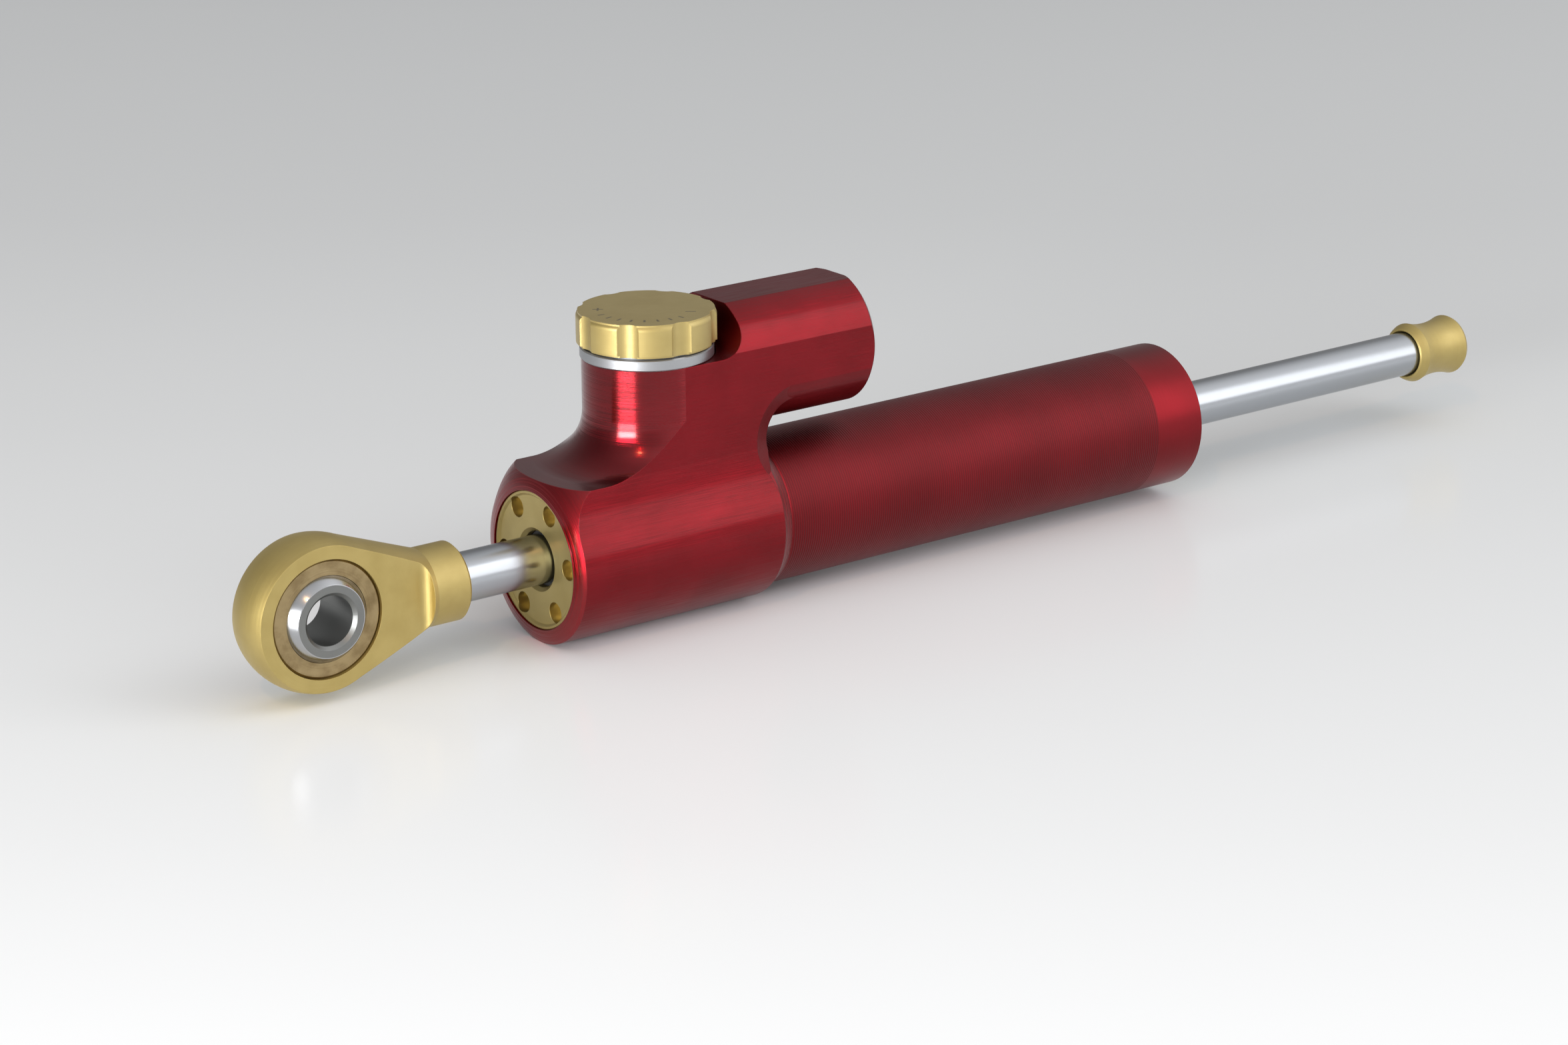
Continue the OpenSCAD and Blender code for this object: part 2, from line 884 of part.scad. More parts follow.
// Moves up and down: conical tip, body with a flat against turning, stem in the spindle
module adjuster_needle() {
    shank_z = needle_open_z + 3;
    color(STEEL)
        translate([knob_x, 0, 0])
            union() {
                translate([0, 0, needle_open_z])
                    cylinder(r1 = 0.3, r2 = 1.5, h = 3);
                intersection() {
                    translate([0, 0, shank_z])
                        cylinder(r = 2.6, h = 22.3 - shank_z);
                    translate([-5, -needle_flat, 0])
                        cube([10, 10, 40]);
                }
                translate([0, 0, 22])
                    cylinder(r = 1.5, h = 6.5);
            }
}

module needle_seat() {
    color(BRONZE)
        translate([knob_x, 0, seat_z])
            difference() {
                cylinder(r = needle_bore_r - seat_gap, h = 3);
                translate([0, 0, -over])
                    cylinder(r = 1, h = 5);
            }
}

module reservoir_piston() {
    color(BRONZE)
        translate([0, 0, upper_z])
            difference() {
                bar(res_bore_r - run_gap, res_piston_x, res_piston_x + res_piston_l);
                sleeve(res_bore_r + over, 6.3, res_piston_x + 1.2, res_piston_x + 3.2);
                bar(5.3, res_piston_x + 3.6, res_piston_x + res_piston_l + over);
            }
}

module reservoir_piston_oring() {
    color(RUBBER)
        translate([0, 0, upper_z])
            oring_x(7.15, 0.82, res_piston_x + 2.2);
}

module reservoir_spring() {
    color(STEEL)
        translate([res_piston_x + 3.6, 0, upper_z])
            rotate([0, 90, 0])
                coil(4.3, 0.55, res_plug_x + 1.5 - res_piston_x - 3.6, 4);
}

module reservoir_plug() {
    color(GOLD)
        translate([0, 0, upper_z])
            difference() {
                bar(res_bore_r - seat_gap, res_plug_x, circlip_x);
                sleeve(res_bore_r + over, 6.6, res_plug_x + 1, res_plug_x + 2.7);
                bar(5.3, res_plug_x - over, res_plug_x + 1.5);
                bar(2, circlip_x - 2, circlip_x + over);
            }
}

module reservoir_plug_oring() {
    color(RUBBER)
        translate([0, 0, upper_z])
            oring_x(7.3, 0.67, res_plug_x + 1.85);
}

module reservoir_circlip() {
    eye_angle = 14;
    color(STEEL)
        translate([0, 0, upper_z])
            difference() {
                union() {
                    sleeve(res_bore_r + 0.45, res_bore_r - 1, circlip_x + seat_gap,
                        circlip_x + 1 - seat_gap);
                    for (side = [-1, 1])
                        rotate([side * eye_angle, 0, 0])
                            translate([0, 0, -6.4])
                                bar(1.2, circlip_x + seat_gap, circlip_x + 1 - seat_gap);
                }
                translate([circlip_x - over, -0.7, -10])
                    cube([4, 1.4, 6]);
                for (side = [-1, 1])
                    rotate([side * eye_angle, 0, 0])
                        translate([0, 0, -6.4])
                            bar(0.55, circlip_x - over, circlip_x + 2);
            }
}

valve_head();
cylinder_tube();
inner_cylinder();
tube_oring();
front_gland_nut();
front_wiper();
front_rod_seal();
front_rod_guide();
front_guide_oring();
rear_gland_nut();
rear_wiper();
rear_rod_seal();
rear_rod_guide();
rear_guide_oring();
piston_rod();
piston();
piston_ring();
piston_circlips();
tail_stop();
rod_end_housing();
rod_end_race();
rod_end_ball();
adjuster_knob();
knob_grub_screw();
detent_ball();
detent_spring();
knob_collar();
adjuster_spindle();
spindle_oring();
needle_guide();
adjuster_needle();
needle_seat();
reservoir_piston();
reservoir_piston_oring();
reservoir_spring();
reservoir_plug();
reservoir_plug_oring();
reservoir_circlip();
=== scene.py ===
"""Studio scene of a motorcycle steering damper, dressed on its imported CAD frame."""

import math

import bpy
from mathutils import Matrix, Vector

MM = 0.001

AXIS_X = (1.0, 0.0, 0.0)
AXIS_Y = (0.0, 1.0, 0.0)
AXIS_Z = (0.0, 0.0, 1.0)
ORIGIN = (0.0, 0.0, 0.0)

# Sizes of the damper in millimetres. Its axis is X, and the knob turns about Z.
BALL_R = 7.94
KNOB_X = 62.4
KNOB_TOP = 37.4
POST_R = 10.5
FLARE_R = 8.0
SHELF_Z = 13.3
NOSE_R = 7.76
NOSE_RING_R = 10.05
NOSE_RING_X = 47.51
NOSE_BACK = 45.5
BARREL_R = 13.8
BARREL_END = 79.3
RESERVOIR_Z = 26.9
GROOVES_START = 81.9
GROOVES_END = 161.0
GROOVE_PITCH = 0.45
FLOOR_Z = -13.8

# A point on the knob's axis, and one on the reservoir's.
KNOB_CENTRE = (KNOB_X, 0.0, 0.0)
RESERVOIR_CENTRE = (0.0, 0.0, RESERVOIR_Z)

# The scale in the knob's top faces SCALE_HEADING, in degrees from -Y towards -X. Its other
# angles count from there, and its places are in millimetres across that way and along it.
SCALE_HEADING = 36.71
SCALE_MIDDLE = -8
SCALE_HALF = 62
SCALE_DARKNESS = 0.8
TICK_SPACING = 15
TICK_START = 7.4
TICK_END = 8.6
PLUS_PLACE = (-7.6, 0.7)
MINUS_PLACE = (7.1, 2.4)
SIGN_HALF_LENGTH = 0.85
SIGN_HALF_WIDTH = 0.16

RED = (0.205, 0.004, 0.009)
RED_DEEP = (0.168, 0.003, 0.0065)
RED_TURNED = (0.25, 0.004, 0.009)
# Dark red painted into the tube's groove valleys as shade.
RED_PAINTED_GROOVE_SHADE = (0.044, 0.0006, 0.0025)
RED_DUST = (0.32, 0.27, 0.29)
GOLD = (0.50, 0.39, 0.14)
GOLD_DEEP = (0.45, 0.345, 0.116)
GOLD_DUST = (0.45, 0.40, 0.29)
GOLD_ENGRAVED = (0.10, 0.075, 0.038)
CHROME = (0.40, 0.418, 0.445)
STEEL = (0.40, 0.40, 0.41)
GROUND_STEEL = (0.42, 0.42, 0.43)
SILVER = (0.39, 0.40, 0.415)
BALL_FACE = (0.215, 0.22, 0.215)
BALL_SPHERE = (0.43, 0.438, 0.455)
BRONZE = (0.375, 0.285, 0.15)
BRONZE_STAIN = (0.255, 0.185, 0.092)
RUBBER = (0.012, 0.012, 0.013)
RUBBER_GRAIN = (0.03, 0.03, 0.03)
PLASTIC = (0.05, 0.04, 0.03)
PLASTIC_GRAIN = (0.09, 0.07, 0.05)

# The camera's angles in degrees, its place, and its lens in millimetres.
CAMERA_AZIMUTH = 36.71
CAMERA_ELEVATION = 18.2
CAMERA_ROLL = -0.47
CAMERA_PLACE = Vector((-276.5, -490.5, 197.4)) * MM
CAMERA_LENS = 89.53

# Brightness of the room's walls, and what its ceiling and its sides add to them.
WALLS = 0.29
CEILING = 0.53
CEILING_RIGHTWARD = 0.5
CEILING_AWAY = -0.16
RIGHT_WALL = 0.8
NEAR_WALL = 0.48
FAR_WALL = 0.05

# Lamps face this point of the damper, in millimetres, unless told otherwise.
LAMP_AIM = (75, 0, 10)
WHITE = (1.0, 1.0, 1.0)
WARM = (1.0, 0.55, 0.25)

# The table's tint, and its grey by distance behind the damper in metres.
FLOOR_TINT = (1.031, 1.061, 1.083)
FLOOR_GREYS = (
    (-0.20, 0.97),
    (-0.121, 0.93),
    (-0.055, 0.86),
    (0.030, 0.79),
    (0.146, 0.715),
    (0.310, 0.66),
    (0.563, 0.655),
    (1.2, 0.5),
)
FLOOR_HALF = 4.0

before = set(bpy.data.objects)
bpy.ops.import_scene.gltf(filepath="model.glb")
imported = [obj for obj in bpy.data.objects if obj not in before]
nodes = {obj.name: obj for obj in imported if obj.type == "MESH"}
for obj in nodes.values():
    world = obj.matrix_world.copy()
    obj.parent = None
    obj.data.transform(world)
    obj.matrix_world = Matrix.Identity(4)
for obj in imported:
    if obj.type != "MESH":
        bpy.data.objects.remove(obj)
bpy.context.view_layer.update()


class Value:
    """A number inside a shader. Sums and products on it add Math nodes."""

    def __init__(self, finish, socket):
        self.finish = finish
        self.socket = socket

    def _math(self, operation, *parts):
        settings = {"operation": operation}
        made = self.finish.node("ShaderNodeMath", settings, dict(enumerate(parts)))
        return Value(self.finish, made.outputs[0])

    def __add__(self, other):
        return self._math("ADD", self, other)

    def __sub__(self, other):
        return self._math("SUBTRACT", self, other)

    def __rsub__(self, other):
        return self._math("SUBTRACT", other, self)

    def __mul__(self, other):
        return self._math("MULTIPLY", self, other)

    def __truediv__(self, other):
        return self._math("DIVIDE", self, other)

    __radd__ = __add__
    __rmul__ = __mul__

    def root(self):
        return self._math("SQRT", self)

    def size(self):
        return self._math("ABSOLUTE", self)

    def angle_from(self, other):
        """The angle in radians whose sine and cosine go as self and other."""
        return self._math("ARCTAN2", self, other)

    def cosine(self):
        return self._math("COSINE", self)

    def at_least(self, low):
        return self._math("MAXIMUM", self, low)

    def at_most(self, high):
        return self._math("MINIMUM", self, high)

    def above(self, edge, softness):
        """0 below edge, 1 above it, smooth over softness."""
        return self.ramp(edge - softness / 2, edge + softness / 2)

    def ramp(self, low, high):
        """0 at low, 1 at high, smooth between."""
        settings = {"interpolation_type": "SMOOTHSTEP"}
        sockets = {"Value": self, "From Min": low, "From Max": high}
        made = self.finish.node("ShaderNodeMapRange", settings, sockets)
        return Value(self.finish, made.outputs[0])


class Nodes:
    """A tree of shader nodes being built."""

    def __init__(self, tree):
        self.tree = tree
        self.tree.nodes.clear()

    def node(self, kind, settings, sockets):
        """Adds a node: its settings first, then its sockets' values or links."""
        made = self.tree.nodes.new(kind)
        for key, value in settings.items():
            if key == "stops":
                self._stops(made.color_ramp, value)
            else:
                setattr(made, key, value)
        for key, value in sockets.items():
            self.feed(made.inputs[key], value)
        return made

    def _stops(self, ramp, stops):
        while len(ramp.elements) < len(stops):
            ramp.elements.new(1)
        for element, (place, colour) in zip(ramp.elements, stops):
            element.position = place
            element.color = colour

    def feed(self, socket, value):
        """Sets a socket, or links it to the value that feeds it."""
        if isinstance(value, Value):
            self.tree.links.new(value.socket, socket)
        elif isinstance(value, bpy.types.NodeSocket):
            self.tree.links.new(value, socket)
        elif isinstance(value, tuple) and socket.type == "RGBA":
            socket.default_value = (*value, 1)
        else:
            socket.default_value = value

    def vector(self, operation, first, second=None, scale=None):
        """What a Vector Math node gives: a Value if it is a number, or else a socket."""
        sockets = {0: first}
        if second is not None:
            sockets[1] = second
        if scale is not None:
            sockets["Scale"] = scale
        made = self.node("ShaderNodeVectorMath", {"operation": operation}, sockets)
        if operation in ("LENGTH", "DOT_PRODUCT"):
            return Value(self, made.outputs["Value"])
        return made.outputs["Vector"]

    def joined(self, x, y, z):
        """A vector made of three numbers."""
        return self.node("ShaderNodeCombineXYZ", {}, {0: x, 1: y, 2: z}).outputs[0]


class Finish(Nodes):
    """A material being made: a Principled shader and the nodes that feed it."""

    def __init__(self, name):
        self.material = bpy.data.materials.new(name)
        self.material.use_nodes = True
        super().__init__(self.material.node_tree)
        self.shader = self.node("ShaderNodeBsdfPrincipled", {}, {})
        self.node("ShaderNodeOutputMaterial", {}, {"Surface": self.shader.outputs[0]})
        texture = self.node("ShaderNodeTexCoord", {}, {})
        self.place = self.vector("SCALE", texture.outputs["Object"], scale=1 / MM)
        split = self.node("ShaderNodeSeparateXYZ", {}, {0: self.place})
        self.x, self.y, self.z = [Value(self, s) for s in split.outputs]
        self.normal = self.node("ShaderNodeNewGeometry", {}, {}).outputs["Normal"]

    def set(self, socket, value):
        """Feeds one socket of the shader."""
        self.feed(self.shader.inputs[socket], value)
        return self

    def noise(self, place, scale, detail):
        """Cloudy noise from 0 to 1 on a place, with scale features in a millimetre."""
        sockets = {"Vector": place, "Scale": scale, "Detail": detail}
        made = self.node("ShaderNodeTexNoise", {"noise_dimensions": "3D"}, sockets)
        return Value(self, made.outputs[0])

    def cloud(self, scale, detail=3.0):
        """Soft patches from 0 to 1 over the whole piece."""
        return self.noise(self.place, scale, detail)

    def blend(self, share, first, second):
        """A colour between first and second."""
        settings = {"data_type": "RGBA"}
        sockets = {0: share, 6: first, 7: second}
        return self.node("ShaderNodeMix", settings, sockets).outputs[2]

    def specks(self, spacing, radius, share):
        """1 on dust specks: one to a cell of the given spacing, in that share of the cells."""
        settings = {"feature": "F1", "voronoi_dimensions": "3D"}
        sockets = {"Vector": self.place, "Scale": 1 / spacing}
        cells = self.node("ShaderNodeTexVoronoi", settings, sockets)
        split = self.node("ShaderNodeSeparateColor", {}, {0: cells.outputs["Color"]})
        chosen = Value(self, split.outputs[0]).above(1 - share, 0.001)
        cell_radius = radius / spacing
        size = Value(self, split.outputs[1]) * cell_radius + 0.2 * cell_radius
        outside = (Value(self, cells.outputs["Distance"]) - size).above(0, 0.4 * cell_radius)
        return chosen * (1 - outside)

    def tool_marks(self, axis, centre, fineness, depth, mask=1):
        """How far the marks of a lathe that turned the surface about axis tilt its normal."""
        from_axis = self.vector("SUBTRACT", self.place, centre)
        around = self.vector("CROSS_PRODUCT", axis, from_axis)
        across = self.vector("CROSS_PRODUCT", self.vector("NORMALIZE", around), self.normal)
        reach = self.vector("LENGTH", around)
        along = self.vector("DOT_PRODUCT", from_axis, axis)
        return self._tilt(self.joined(reach, along, 0.0), across, fineness, depth, mask)

    def brush_marks(self, axis, fineness, depth, mask):
        """How far brushed lines that run along axis tilt the normal."""
        across = self.vector("CROSS_PRODUCT", axis, self.normal)
        stretch = tuple(0.01 if along else 1.0 for along in axis)
        place = self.vector("MULTIPLY", self.place, stretch)
        return self._tilt(place, across, fineness, depth, mask)

    def _tilt(self, place, across, fineness, depth, mask):
        """A tilt towards across, by fine marks with a little of broader ones."""
        fine = self.noise(place, fineness, 1.0) - 0.5
        broad = self.noise(place, fineness / 4, 2.0) - 0.5
        slope = (fine + broad * 0.1) * (2 * depth)
        return self.vector("SCALE", across, scale=slope * mask)

    def tilted(self, *tilts, soft_edge=0.0):
        """Feeds the normal, tilted by marks. soft_edge rounds sharp edges, in millimetres."""
        total = self.normal
        if soft_edge:
            sockets = {"Radius": soft_edge * MM}
            total = self.node("ShaderNodeBevel", {"samples": 4}, sockets).outputs[0]
        for tilt in tilts:
            total = self.vector("ADD", total, tilt)
        return self.set("Normal", self.vector("NORMALIZE", total))


def metal(name):
    """A bare metal, still without its colour."""
    return Finish(name).set("Metallic", 1.0)


def anodised(name, coat, coat_roughness):
    """Anodised aluminium: a tinted metal under a thin clear oxide skin."""
    finish = metal(name).set("Coat Weight", coat)
    return finish.set("Coat Roughness", coat_roughness).set("Coat IOR", 1.6)


def flare_height(x, y):
    """The height in millimetres of the flare that joins the head's shelf to its post."""
    from_knob = ((x - KNOB_X) * (x - KNOB_X) + y * y).root()
    inward = (POST_R + FLARE_R - from_knob).at_least(0).at_most(FLARE_R)
    return SHELF_Z + FLARE_R - (FLARE_R * FLARE_R - inward * inward).at_least(0).root()


def turned_ends(x, from_axis):
    """1 on what a lathe turned about the damper's axis: the head's nose and its far taper."""
    ring_r = from_axis - NOSE_RING_R
    ring_x = x - NOSE_RING_X
    off_nose = ((ring_r * ring_r + ring_x * ring_x).root() - NOSE_R).size()
    nose = (1 - off_nose.above(0.05, 0.03)) * (1 - x.above(NOSE_BACK, 0.5))
    inside = 1 - from_axis.above(BARREL_R + 0.05, 0.05)
    taper = x.above(BARREL_END + 0.02, 0.02) * inside
    return (nose + taper).at_most(1)


def head_finish():
    """The head's red: turned round its post and its ends, and brushed along its sides."""
    finish = anodised("red_anodised_head", 0.3, 0.15)
    x, y, z = finish.x, finish.y, finish.z
    post = (z - flare_height(x, y)).above(-0.06, 0.04) * (1 - x.above(KNOB_X, 0.1))
    turned = turned_ends(x, (y * y + z * z).root())
    plain = (1 - post) * (1 - turned)
    cloud = finish.cloud(0.12)
    dust = finish.specks(spacing=4.5, radius=0.07, share=0.3)
    red = finish.blend(cloud.ramp(0.3, 0.75), RED, RED_DEEP)
    red = finish.blend(turned, red, RED_TURNED)
    finish.set("Base Color", finish.blend(dust * 0.6, red, RED_DUST))
    roughness = 0.34 * plain + 0.16 * post + 0.27 * turned
    finish.set("Roughness", roughness + cloud * 0.06 + dust * 0.2)
    finish.set("Coat Weight", 0.2 * plain + 0.4 * post + 0.5 * turned)
    upper_post = post * (0.15 + z.ramp(16.0, 21.0) * 0.85)
    finish.tilted(
        finish.tool_marks(AXIS_Z, KNOB_CENTRE, fineness=16.0, depth=0.9, mask=upper_post),
        finish.tool_marks(AXIS_X, ORIGIN, fineness=14.0, depth=0.9, mask=turned),
        finish.brush_marks(AXIS_X, fineness=16.0, depth=0.28, mask=plain),
        soft_edge=0.3,
    )
    return finish.material


def tube_finish():
    """The tube's red: fine turned grooves with shade painted into their valleys, and a plain
    band at the far end.
    """
    finish = anodised("red_anodised_tube", 0.2, 0.45)
    x = finish.x
    grooved = x.above(GROOVES_START, 0.1) * (1 - x.above(GROOVES_END, 0.1))
    turn = x * (2 * math.pi / GROOVE_PITCH)
    # Painted shade: 1 in each groove's valley, where the red is darkened.
    painted_groove_shade = (turn.cosine() * 0.5 + 0.5) * grooved
    cloud = finish.cloud(0.08)
    dust = finish.specks(spacing=5.0, radius=0.09, share=0.35)
    red = finish.blend(cloud.ramp(0.3, 0.75), RED, RED_DEEP)
    red = finish.blend(painted_groove_shade * 0.45, red, RED_PAINTED_GROOVE_SHADE)
    finish.set("Base Color", finish.blend(dust * 0.6, red, RED_DUST))
    finish.set("Roughness", 0.32 + cloud * 0.05 + grooved * 0.12 + dust * 0.2)
    slope = (turn + math.pi / 2).cosine() * grooved * 0.35
    grooves = finish.vector("SCALE", AXIS_X, scale=slope)
    marks = finish.tool_marks(AXIS_X, ORIGIN, fineness=6.0, depth=0.14)
    finish.tilted(grooves, marks, soft_edge=0.1)
    return finish.material


def bar(along, aside, place):
    """1 on a short engraved line that runs along one way."""
    inside = 1 - (along - place[0]).size().above(SIGN_HALF_LENGTH, 0.1)
    return inside * (1 - (aside - place[1]).size().above(SIGN_HALF_WIDTH, 0.1))


def knob_scale(finish):
    """The scale engraved in the knob's top: ticks on an arc between a plus and a minus."""
    a = math.radians(SCALE_HEADING)
    x, y = finish.x - KNOB_X, finish.y
    across = x * math.cos(a) - y * math.sin(a)
    along = x * (-math.sin(a)) - y * math.cos(a)
    reach = (x * x + y * y).root()
    turn = across.angle_from(along) * (180 / math.pi)
    tick = (turn * (2 * math.pi / TICK_SPACING)).cosine().above(0.86, 0.2)
    band = reach.above(TICK_START, 0.1) * (1 - reach.above(TICK_END, 0.1))
    sector = 1 - (turn - SCALE_MIDDLE).size().above(SCALE_HALF, 1)
    plus = bar(across, along, PLUS_PLACE) + bar(along, across, PLUS_PLACE[::-1])
    minus = bar(across, along, MINUS_PLACE)
    marks = (tick * band * sector + plus + minus).at_most(1)
    return marks * finish.z.above(KNOB_TOP - 0.1, 0.05) * SCALE_DARKNESS


def gold_finish(name, axis, centre, roughness, depth=0.12, coat=0.4, scale=False):
    """Gold anodised aluminium, turned about one axis, with or without the knob's scale."""
    finish = anodised(name, coat, 0.35)
    cloud = finish.cloud(0.2)
    dust = finish.specks(spacing=4.0, radius=0.06, share=0.25)
    gold = finish.blend(cloud.ramp(0.3, 0.75), GOLD, GOLD_DEEP)
    gold = finish.blend(dust * 0.5, gold, GOLD_DUST)
    if scale:
        gold = finish.blend(knob_scale(finish), gold, GOLD_ENGRAVED)
    finish.set("Base Color", gold)
    finish.set("Roughness", roughness + cloud * 0.08 + dust * 0.15)
    finish.tilted(finish.tool_marks(axis, centre, fineness=5.0, depth=depth), soft_edge=0.12)
    return finish.material


def bright_finish(name, colour, axis, centre, roughness, depth, soft_edge=0.08):
    """Bare or plated bright metal with turning lines."""
    finish = metal(name).set("Base Color", colour)
    finish.set("Roughness", roughness + finish.cloud(0.3) * 0.05)
    marks = finish.tool_marks(axis, centre, fineness=14.0, depth=depth)
    finish.tilted(marks, soft_edge=soft_edge)
    return finish.material


def ball_finish():
    """The rod end's ball: a polished sphere between satin end faces."""
    finish = metal("polished_ball")
    sphere = finish.vector("LENGTH", finish.place).above(BALL_R - 0.09, 0.08)
    finish.set("Base Color", finish.blend(sphere, BALL_FACE, BALL_SPHERE))
    finish.set("Roughness", 0.42 - sphere * 0.25 + finish.cloud(0.3) * 0.05)
    finish.tilted(finish.tool_marks(AXIS_Y, ORIGIN, fineness=14.0, depth=0.04), soft_edge=0.08)
    return finish.material


def bronze_finish(name, axis, centre):
    """Machined bronze with brown stains."""
    finish = metal(name)
    stain = finish.cloud(0.35, detail=4.0).ramp(0.35, 0.7)
    finish.set("Base Color", finish.blend(stain, BRONZE, BRONZE_STAIN))
    finish.set("Roughness", 0.38 + stain * 0.15)
    finish.tilted(finish.tool_marks(axis, centre, fineness=4.0, depth=0.2), soft_edge=0.08)
    return finish.material


def moulded_finish(name, colour, grain_colour, fineness, roughness):
    """Rubber or plastic with a fine grain."""
    finish = Finish(name)
    grain = finish.cloud(fineness)
    finish.set("Base Color", finish.blend(grain, colour, grain_colour))
    finish.set("Roughness", roughness + grain * 0.2)
    return finish.material


def dress_nodes():
    """Gives every CAD node its finish."""
    gold_x = gold_finish("gold_anodised_turned", AXIS_X, ORIGIN, roughness=0.38)
    gold_stop = gold_finish("gold_anodised_stop", AXIS_X, ORIGIN, roughness=0.5)
    gold_eye = gold_finish("gold_anodised_eye", AXIS_Y, ORIGIN, roughness=0.52, depth=0.1)
    gold_knob = gold_finish(
        "gold_anodised_knob",
        AXIS_Z,
        KNOB_CENTRE,
        roughness=0.5,
        depth=0.1,
        coat=0.7,
        scale=True,
    )
    gold_plug = gold_finish("gold_anodised_plug", AXIS_X, RESERVOIR_CENTRE, roughness=0.3)
    chrome = bright_finish(
        "hard_chrome", CHROME, AXIS_X, ORIGIN, roughness=0.21, depth=0.015, soft_edge=0.0
    )
    steel_x = bright_finish(
        "machined_steel", STEEL, AXIS_X, ORIGIN, roughness=0.28, depth=0.15
    )
    steel_z = bright_finish(
        "ground_steel", GROUND_STEEL, AXIS_Z, KNOB_CENTRE, roughness=0.25, depth=0.12
    )
    silver = bright_finish(
        "silver_anodised", SILVER, AXIS_Z, KNOB_CENTRE, roughness=0.42, depth=0.15
    )
    bronze_x = bronze_finish("bearing_bronze_turned", AXIS_X, ORIGIN)
    bronze_y = bronze_finish("bearing_bronze_race", AXIS_Y, ORIGIN)
    bronze_z = bronze_finish("bearing_bronze_valve", AXIS_Z, KNOB_CENTRE)
    rubber = moulded_finish("black_rubber", RUBBER, RUBBER_GRAIN, fineness=6.0, roughness=0.55)
    plastic = moulded_finish(
        "ring_plastic", PLASTIC, PLASTIC_GRAIN, fineness=3.0, roughness=0.4
    )
    finishes = {
        head_finish(): ["valve_head"],
        tube_finish(): ["cylinder_tube"],
        gold_x: ["front_gland_nut", "rear_gland_nut"],
        gold_stop: ["tail_stop"],
        gold_eye: ["rod_end_housing"],
        gold_knob: ["adjuster_knob"],
        gold_plug: ["reservoir_plug"],
        chrome: ["piston_rod"],
        ball_finish(): ["rod_end_ball"],
        steel_x: ["inner_cylinder", "piston_circlips", "reservoir_circlip", "reservoir_spring"],
        steel_z: [
            "knob_grub_screw",
            "detent_ball",
            "detent_spring",
            "adjuster_spindle",
            "adjuster_needle",
        ],
        silver: ["knob_collar"],
        bronze_x: ["front_rod_guide", "rear_rod_guide", "piston", "reservoir_piston"],
        bronze_y: ["rod_end_race"],
        bronze_z: ["needle_guide", "needle_seat"],
        rubber: [
            "tube_oring",
            "front_wiper",
            "front_rod_seal",
            "front_guide_oring",
            "rear_wiper",
            "rear_rod_seal",
            "rear_guide_oring",
            "spindle_oring",
            "reservoir_piston_oring",
            "reservoir_plug_oring",
        ],
        plastic: ["piston_ring"],
    }
    for material, names in finishes.items():
        for name in names:
            slots = nodes[name].data.materials
            slots.clear()
            slots.append(material)


def camera_axes():
    """Right, up and forward of the camera, with its roll."""
    a, e, r = (math.radians(v) for v in (CAMERA_AZIMUTH, CAMERA_ELEVATION, CAMERA_ROLL))
    ahead = Vector((math.cos(e) * math.sin(a), math.cos(e) * math.cos(a), -math.sin(e)))
    right = ahead.cross(Vector(AXIS_Z)).normalized()
    up = right.cross(ahead)
    return (
        math.cos(r) * right + math.sin(r) * up,
        -math.sin(r) * right + math.cos(r) * up,
        ahead,
    )


def make_camera():
    """The camera that took the photo."""
    data = bpy.data.cameras.new("camera")
    data.lens = CAMERA_LENS
    data.sensor_width = 36
    data.clip_start = 0.01
    data.clip_end = 50
    camera = bpy.data.objects.new("camera", data)
    bpy.context.scene.collection.objects.link(camera)
    right, up, ahead = camera_axes()
    turn = Matrix((right, up, -ahead)).transposed().to_4x4()
    camera.matrix_world = Matrix.Translation(CAMERA_PLACE) @ turn
    bpy.context.scene.camera = camera


def make_lamp(name, azimuth, elevation, distance, size, power, aim=LAMP_AIM, colour=WHITE):
    """A flat lamp, in degrees, metres and watts, that faces a point given in millimetres.
    Azimuth counts from the camera's side, and is positive to the right of it."""
    base = math.radians(180 + CAMERA_AZIMUTH - azimuth)
    e = math.radians(elevation)
    to_lamp = Vector((math.sin(base) * math.cos(e), math.cos(base) * math.cos(e), math.sin(e)))
    data = bpy.data.lights.new(name, "AREA")
    data.shape = "RECTANGLE"
    data.size, data.size_y = size
    data.energy = power
    data.color = colour
    lamp = bpy.data.objects.new(name, data)
    bpy.context.scene.collection.objects.link(lamp)
    lamp.location = Vector(aim) * MM + to_lamp * distance
    lamp.rotation_euler = (-to_lamp).to_track_quat("-Z", "Y").to_euler()


def make_lamps():
    """A low window on the left, a window on the right and a small warm lamp overhead."""
    make_lamp(
        "low_window",
        azimuth=-34,
        elevation=7,
        distance=1.2,
        size=(0.62, 0.24),
        power=16.8,
        aim=(55, 0, 5),
    )
    make_lamp(
        "right_window",
        azimuth=78,
        elevation=27,
        distance=1.1,
        size=(0.66, 0.85),
        power=3.1,
    )
    make_lamp(
        "ceiling_lamp",
        azimuth=-15,
        elevation=46,
        distance=1.6,
        size=(0.06, 0.06),
        power=1.7,
        colour=WARM,
    )


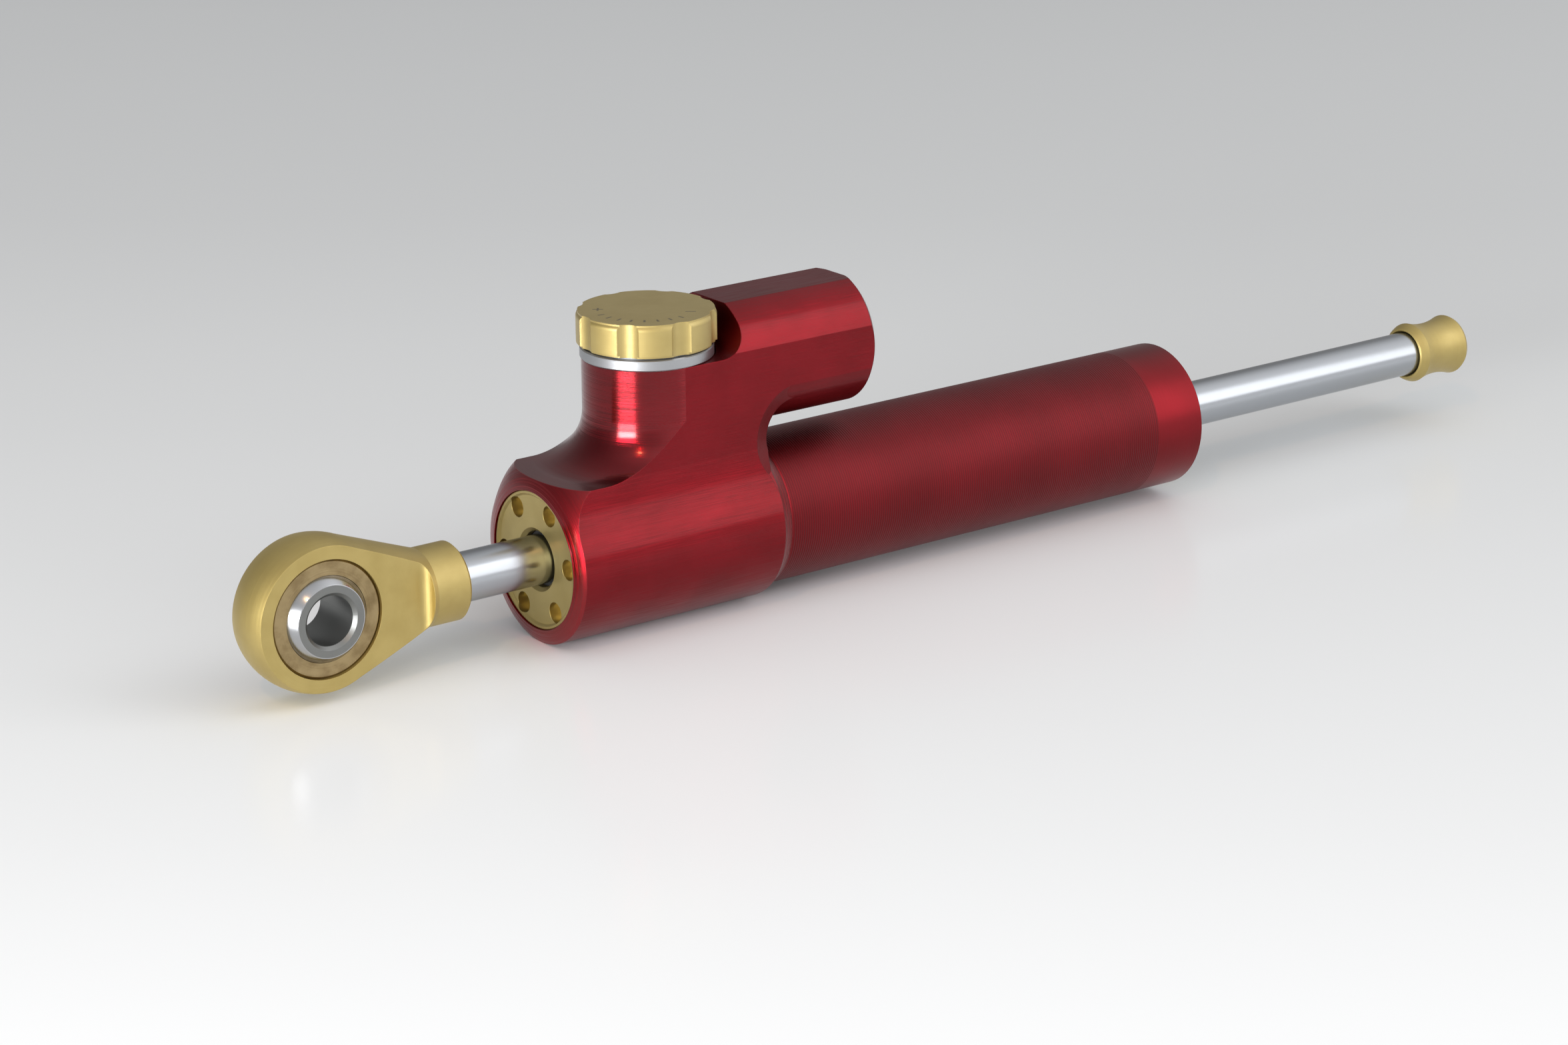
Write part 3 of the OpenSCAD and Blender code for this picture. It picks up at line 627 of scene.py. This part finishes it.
def room_ways():
    """To the right of the camera, and away from it, along the table."""
    a = math.radians(CAMERA_AZIMUTH)
    return (math.cos(a), -math.sin(a), 0.0), (math.sin(a), math.cos(a), 0.0)


def make_world():
    """A pale ceiling over a dim room that is lighter to the right of the camera."""
    world = bpy.data.worlds.new("studio")
    bpy.context.scene.world = world
    world.use_nodes = True
    sky = Nodes(world.node_tree)
    direction = sky.node("ShaderNodeTexCoord", {}, {}).outputs["Generated"]
    height, rightward, away = (
        sky.vector("DOT_PRODUCT", direction, way) for way in (AXIS_Z, *room_ways())
    )
    ceiling = CEILING + rightward * CEILING_RIGHTWARD + away * CEILING_AWAY
    right_wall = rightward.ramp(0.0, 0.95) * RIGHT_WALL
    near_wall = (0 - away).ramp(0.0, 1.0) * NEAR_WALL
    far_wall = away.ramp(0.0, 1.0) * FAR_WALL
    light = WALLS + right_wall + near_wall + far_wall + height.ramp(0.4, 0.9) * ceiling
    background = sky.node("ShaderNodeBackground", {}, {"Strength": light})
    output = sky.node("ShaderNodeOutputWorld", {}, {"Surface": background.outputs[0]})
    output.is_active_output = True


def make_floor():
    """A pale glossy table top: white near the camera, greyer with distance."""
    mesh = bpy.data.meshes.new("floor")
    half, z = FLOOR_HALF, FLOOR_Z * MM
    corners = [(-half, -half, z), (half, -half, z), (half, half, z), (-half, half, z)]
    mesh.from_pydata(corners, [], [(0, 1, 2, 3)])
    floor = bpy.data.objects.new("floor", mesh)
    bpy.context.scene.collection.objects.link(floor)
    finish = Finish("table_top")
    _, away = room_ways()
    distance = finish.vector("DOT_PRODUCT", finish.place, away) * MM
    near, far = FLOOR_GREYS[0][0], FLOOR_GREYS[-1][0]
    stops = [((d - near) / (far - near), (g, g, g, 1)) for d, g in FLOOR_GREYS]
    share = (distance - near) / (far - near)
    ramp = finish.node("ShaderNodeValToRGB", {"stops": stops}, {0: share})
    finish.set("Base Color", finish.vector("MULTIPLY", ramp.outputs[0], FLOOR_TINT))
    finish.set("Roughness", 0.2).set("Specular IOR Level", 0.12)
    mesh.materials.append(finish.material)


dress_nodes()
make_camera()
make_lamps()
make_world()
make_floor()
bpy.context.scene.view_settings.view_transform = "Standard"
